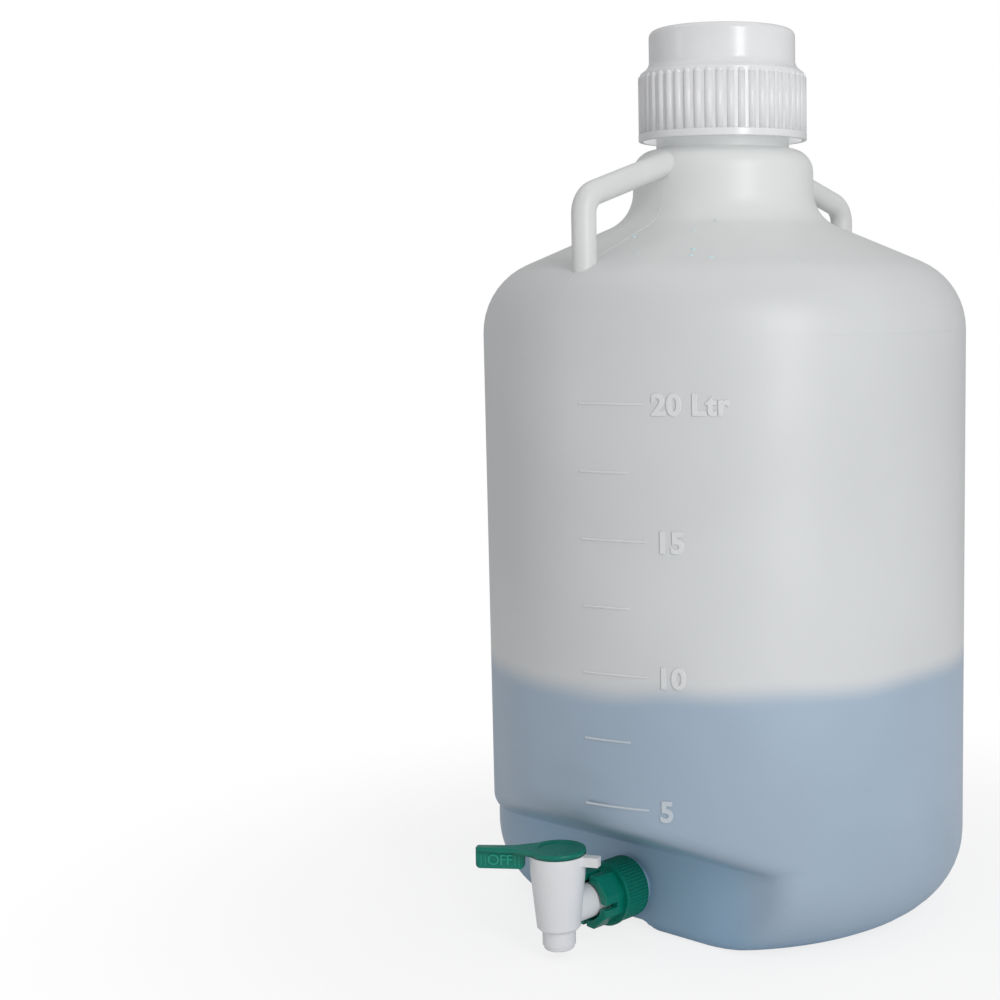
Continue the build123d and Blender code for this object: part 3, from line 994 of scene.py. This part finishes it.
class CARBOY_OT_neck_thread(Undoable, bpy.types.Operator):
    """Adds the thread of the neck"""

    bl_idname = "carboy.neck_thread"
    bl_label = "Neck Thread"

    def execute(self, context):
        thread, shell = context.scene.carboy_thread, context.scene.carboy_shell
        # The thread takes the neck's paler colour, which is painted light.
        material = moulded_plastic("Neck polyethylene", shell.neck_light_colour, 0.36)
        ridge = thread_tree().grow(
            "neck_thread", Radius=NECK_THREAD_RADIUS, Foot=THREAD_FOOT, Pitch=thread.pitch,
            Turns=thread.turns, Ridge=thread.ridge, Material=material,
        )
        finish_piece(ridge, "carboy", material)
        return {"FINISHED"}


class CARBOY_OT_cap(Undoable, bpy.types.Operator):
    """Adds the screw cap with its ribs and its inner thread"""

    bl_idname = "carboy.cap"
    bl_label = "Screw Cap"

    profile = (                    # radius, height and round, in millimetres
        (0, 537.5, 0), (44.5, 537.3, 4.5), (44.5, 515.2, 7.0), (50.0, 511.2, 1.2),
        (50.0, 475.5, 0.3), (51.4, 475.5, 0.5), (51.4, 471.1, 0.7), (48.0, 471.1, 0.6),
        (48.0, 478.1, 0.3), (44.9, 481.1, 0.5), (44.9, 512.0, 0.3), (41.9, 512.0, 0.3),
        (41.9, 534.5, 1.0), (0, 534.5, 0),
    )
    rib_foot = 0.4745
    rib_top = 0.5108
    rib_sides = 16
    thread_turns = 1.5
    thread_share = 0.8             # size of the cap's thread as a share of the neck's

    def execute(self, context):
        scene = context.scene
        cap, thread = scene.carboy_cap, scene.carboy_thread
        material = cap_plastic("Cap white", cap.colour, 0.20)
        drum = turned("cap_drum", self.profile, segments=144)
        ribs = rib_tree().grow(
            "cap_ribs", Count=cap.rib_count, Sides=self.rib_sides, Ring_Radius=cap.rib_ring,
            Rib_Radius=cap.rib_radius, Foot=self.rib_foot, Top=self.rib_top, Material=material,
        )
        inner = thread_tree().grow(
            "cap_thread", Radius=CAP_THREAD_RADIUS, Foot=THREAD_FOOT, Pitch=thread.pitch,
            Turns=self.thread_turns, Ridge=thread.ridge * self.thread_share, Material=material,
        )
        finish_piece(drum, "cap", material, replaced=["screw_cap"])
        finish_piece(ribs, "cap", material)
        finish_piece(inner, "cap", material)
        return {"FINISHED"}


class CARBOY_OT_seals(Undoable, bpy.types.Operator):
    """Finishes the cap's foam liner and the port's rubber gasket"""

    bl_idname = "carboy.seals"
    bl_label = "Liner and Gasket"

    foam_tint = (0.80, 0.80, 0.77)
    rubber_tint = (0.02, 0.02, 0.02)

    def execute(self, context):
        liner = merged_copy("cap_liner", "foam_liner", easing=0.0003)
        white = foam("Liner foam", self.foam_tint)
        finish_piece(liner, "cap_seal", white, replaced=["cap_liner"])
        gasket = merged_copy("port_gasket", "port_seal", easing=0.0004)
        rubber = moulded_plastic("Gasket rubber", self.rubber_tint, 0.6, texture=0.1)
        finish_piece(gasket, "carboy", rubber, replaced=["port_gasket"])
        return {"FINISHED"}


class CARBOY_OT_nut(Undoable, bpy.types.Operator):
    """Adds the slotted nut that clamps the tap to its port"""

    bl_idname = "carboy.nut"
    bl_label = "Spigot Nut"

    def execute(self, context):
        tap = context.scene.carboy_tap
        material = moulded_plastic("Nut green", tap.green, 0.12, texture=0.02, index=1.40)
        nut = merged_copy("spigot_nut", "slotted_nut", easing=0.0002)
        finish_piece(nut, "nut", material, replaced=["spigot_nut"])
        return {"FINISHED"}


class CARBOY_OT_tap(Undoable, bpy.types.Operator):
    """Adds the tap's white barrel"""

    bl_idname = "carboy.tap"
    bl_label = "Tap Barrel"

    def execute(self, context):
        tap = context.scene.carboy_tap
        material = moulded_plastic("Tap white", tap.white, 0.42, texture=0.12, scale=700.0)
        barrel = merged_copy("tap_body", "tap_barrel", easing=tap.easing)
        finish_piece(barrel, "carboy", material, replaced=["tap_body"])
        return {"FINISHED"}


class CARBOY_OT_lever(Undoable, bpy.types.Operator):
    """Adds the tap's lever with its raised words"""

    bl_idname = "carboy.lever"
    bl_label = "Lever"

    swing = 56.0                   # degrees from straight out, to the left of the tap
    paddle_half = 1.6
    word_foot = 54.4
    word_middle = 33.4             # reach of the words' middle from the plug's axis
    stroke = 0.32

    def side_frame(self, facing):
        """Words' own frame on one side of the paddle, with X to their right."""
        turn = radians(-90 - self.swing)
        outwards = Vector((cos(turn), sin(turn), 0))
        normal = Vector((-sin(turn), cos(turn), 0)) * facing
        right = outwards * -facing
        frame_matrix = Matrix((right, Vector((0, 0, 1)), normal)).transposed().to_4x4()
        middle = Vector((0, -TAP_REACH, 0)) + outwards * self.word_middle
        spot = middle + normal * self.paddle_half + Vector((0, 0, self.word_foot))
        frame_matrix.translation = spot * MM
        return frame_matrix

    def words(self, body, facing, height):
        """One side's word between its pairs of upright bars."""
        place = self.side_frame(facing)
        flat = raised_words(
            f"word_{body}", body, height, relief=0.75, weight=-0.06, spacing=0.94
        )
        width = max(vertex.co.x for vertex in flat.data.vertices)
        flat.data.transform(Matrix.Translation((-width / 2, 0, 0)))
        pieces = [flat]
        for offset in (-11.1, -8.7, 8.7, 11.1):
            bar = [(offset, -0.6, 0), (offset, height * 0.82 + 0.6, 0)]
            pieces.append(tube_along("word_bar", bar, self.stroke))
        for piece in pieces:
            piece.data.transform(place)
        return pieces

    def execute(self, context):
        tap = context.scene.carboy_tap
        material = moulded_plastic("Lever green", tap.green, 0.22, texture=0.04, index=1.38)
        lever = merged_copy("tap_lever", "lever")
        finish_piece(lever, "tap_key", material, replaced=["tap_lever"])
        height = tap.word_height / MM
        words = join("lever_words", [*self.words("OFF", 1, height), *self.words("ON", -1, height)])
        # Painted highlight: the raised words are a lighter green than the lever.
        highlit = moulded_plastic("Raised green", tap.highlit_green, 0.18, 0.02, index=1.40)
        finish_piece(words, "tap_key", highlit)
        return {"FINISHED"}


class CARBOY_OT_liquid(Undoable, bpy.types.Operator):
    """Finishes the liquid inside the shell"""

    bl_idname = "carboy.liquid"
    bl_label = "Liquid"

    tint = (0.18, 0.32, 0.46)

    def execute(self, context):
        liquid = merged_copy("liquid", "filling")
        material = liquid_matter("Tinted water", self.tint)
        finish_piece(liquid, "carboy", material, replaced=["liquid"])
        return {"FINISHED"}


class CARBOY_OT_droplets(Undoable, bpy.types.Operator):
    """Adds the small beads of tinted liquid on the shoulder"""

    bl_idname = "carboy.droplets"
    bl_label = "Droplets"

    # Azimuth in degrees from the tap, radius, height and width in millimetres
    sites = (
        (2.3, 85.9, 412.1, 3.2), (-10.4, 93.5, 408.9, 1.6), (30.2, 105.2, 403.9, 3.4),
        (30.4, 113.4, 400.4, 3.0), (26.6, 77.1, 415.9, 2.2), (13.5, 110.2, 401.8, 1.5),
        (35.5, 66.9, 421.6, 1.4), (36.1, 116.2, 399.2, 3.0), (60.0, 118.0, 398.5, 1.3),
    )

    def execute(self, context):
        droplets = context.scene.carboy_droplets
        mesh = bpy.data.meshes.new("droplet_sites")
        places, facings = [], []
        for azimuth, radius, height, _ in self.sites:
            turn = radians(azimuth)
            level = max(height, SHOULDER_CORNER + (BODY_RADIUS - radius) * tan(CONE_SLOPE))
            places.append(Vector((radius * sin(turn), -radius * cos(turn), level)) * MM)
            facings.append(Vector((
                sin(CONE_SLOPE) * sin(turn), -sin(CONE_SLOPE) * cos(turn), cos(CONE_SLOPE),
            )))
        mesh.from_pydata(places, [], [])
        facing = mesh.attributes.new("facing", "FLOAT_VECTOR", "POINT")
        facing.data.foreach_set("vector", [part for vector in facings for part in vector])
        span = mesh.attributes.new("span", "FLOAT", "POINT")
        span.data.foreach_set("value", [site[3] * MM for site in self.sites])
        material = moulded_plastic("Bead tint", droplets.colour, 0.08, texture=0.0)
        beads = droplet_tree().grow(
            "droplets", seed_mesh=mesh, Flatness=droplets.flatness, Material=material
        )
        finish_piece(beads, "carboy", material)
        return {"FINISHED"}


class CARBOY_OT_stage(Undoable, bpy.types.Operator):
    """Adds the floor, the lamps, the surroundings and the camera"""

    bl_idname = "carboy.stage"
    bl_label = "Stage"

    camera_place = (0.71594, -0.86851, 0.38230)
    camera_turn = (83.3314, 0.5806, 40.2513)       # degrees
    camera_lens = 65.208
    camera_shift = -0.2
    floor_half = 6.0

    def lamp(self, name, place, aim, size, power):
        """A rectangular lamp at place that faces aim."""
        data = bpy.data.lights.new(name, "AREA")
        data.shape = "RECTANGLE"
        data.size, data.size_y = size
        data.energy = power
        lamp = add_object(name, data)
        lamp.location = place
        lamp.rotation_euler = (Vector(aim) - Vector(place)).to_track_quat("-Z", "Y").to_euler()

    def white_rays(self, wires):
        """1 for the rays that see the surroundings as plain white."""
        path = wires.node("ShaderNodeLightPath").outputs
        seen = Field(wires, path["Is Camera Ray"]) + Field(wires, path["Is Transmission Ray"])
        return seen.clamped()

    def surroundings(self, scene, strength):
        """An even pale surround: white to the eye, softer as a light and in gloss."""
        world = bpy.data.worlds.new("Surround")
        world.use_nodes = True
        world.node_tree.nodes.clear()
        wires = Wires(world.node_tree)
        seen = self.white_rays(wires)
        shine = wires.node("ShaderNodeBackground", {
            "Color": (1, 1, 1, 1), "Strength": strength + seen * (1.0 - strength),
        })
        output = wires.node("ShaderNodeOutputWorld")
        wires.links.new(shine.outputs[0], output.inputs["Surface"])
        scene.world = world

    def floor_matter(self, colour):
        """A pale floor that keeps the object's shadow and fades to plain white far off."""
        finish = Finish("Pale floor")
        x, y, _ = finish.axes()
        away = (x * x + y * y) ** 0.5
        white = self.white_rays(finish)
        matt = finish.node("ShaderNodeBsdfDiffuse", {"Color": (*colour, 1)})
        glow = finish.node("ShaderNodeEmission", {"Color": (1, 1, 1, 1), "Strength": 1.0})
        share = (0.80 + away.step(0.20, 0.50) * 0.20) * white
        mixed = finish.node("ShaderNodeMixShader", {"Fac": share})
        finish.links.new(matt.outputs[0], mixed.inputs[1])
        finish.links.new(glow.outputs[0], mixed.inputs[2])
        finish.links.new(mixed.outputs[0], finish.output.inputs["Surface"])
        return finish.material

    def execute(self, context):
        scene = context.scene
        stage = scene.carboy_stage
        half = self.floor_half
        mesh = bpy.data.meshes.new("floor")
        corners = [(-half, -half, 0), (half, -half, 0), (half, half, 0), (-half, half, 0)]
        mesh.from_pydata(corners, [], [(0, 1, 2, 3)])
        mesh.materials.append(self.floor_matter(stage.floor_colour))
        add_object("floor", mesh)
        self.surroundings(scene, stage.surround)
        middle = (0, 0, 0.25)
        self.lamp("key_lamp", (1.58, -0.66, 0.85), middle, (0.40, 1.5), stage.key_power)
        self.lamp("fill_lamp", (-0.90, -1.55, 0.50), middle, (0.30, 1.1), stage.fill_power)
        self.lamp("top_lamp", (-0.20, 0.10, 1.90), middle, (1.6, 1.6), stage.top_power)
        camera = bpy.data.cameras.new("camera")
        camera.sensor_width = 36.0
        camera.lens = self.camera_lens
        camera.shift_x = self.camera_shift
        viewer = add_object("camera", camera)
        viewer.location = self.camera_place
        viewer.rotation_euler = [radians(angle) for angle in self.camera_turn]
        scene.camera = viewer
        scene.view_settings.view_transform = "Standard"
        return {"FINISHED"}


class CARBOY_PT_pieces(bpy.types.Panel):
    """Lists the carboy's pieces in the 3D view's sidebar"""

    bl_idname = "CARBOY_PT_pieces"
    bl_label = "Carboy"
    bl_space_type = "VIEW_3D"
    bl_region_type = "UI"
    bl_category = "Carboy"

    def draw(self, context):
        for operator in OPERATORS:
            self.layout.operator(operator.bl_idname)


OPERATORS = (
    CARBOY_OT_stage,
    CARBOY_OT_shell,
    CARBOY_OT_port,
    CARBOY_OT_marks,
    CARBOY_OT_seams,
    CARBOY_OT_handles,
    CARBOY_OT_neck_thread,
    CARBOY_OT_cap,
    CARBOY_OT_seals,
    CARBOY_OT_nut,
    CARBOY_OT_tap,
    CARBOY_OT_lever,
    CARBOY_OT_liquid,
    CARBOY_OT_droplets,
)
SETTINGS = {
    "carboy_shell": ShellSettings,
    "carboy_marks": MarkSettings,
    "carboy_cap": CapSettings,
    "carboy_thread": ThreadSettings,
    "carboy_tap": TapSettings,
    "carboy_droplets": DropletSettings,
    "carboy_stage": StageSettings,
}


def register():
    for name, settings in SETTINGS.items():
        bpy.utils.register_class(settings)
        setattr(bpy.types.Scene, name, PointerProperty(type=settings))
    for operator in OPERATORS:
        bpy.utils.register_class(operator)
    bpy.utils.register_class(CARBOY_PT_pieces)


def unregister():
    bpy.utils.unregister_class(CARBOY_PT_pieces)
    for operator in reversed(OPERATORS):
        bpy.utils.unregister_class(operator)
    for name, settings in reversed(SETTINGS.items()):
        delattr(bpy.types.Scene, name)
        bpy.utils.unregister_class(settings)


def main():
    register()
    for operator in OPERATORS:
        group, name = operator.bl_idname.split(".")
        getattr(getattr(bpy.ops, group), name)()


if __name__ == "__main__":
    main()
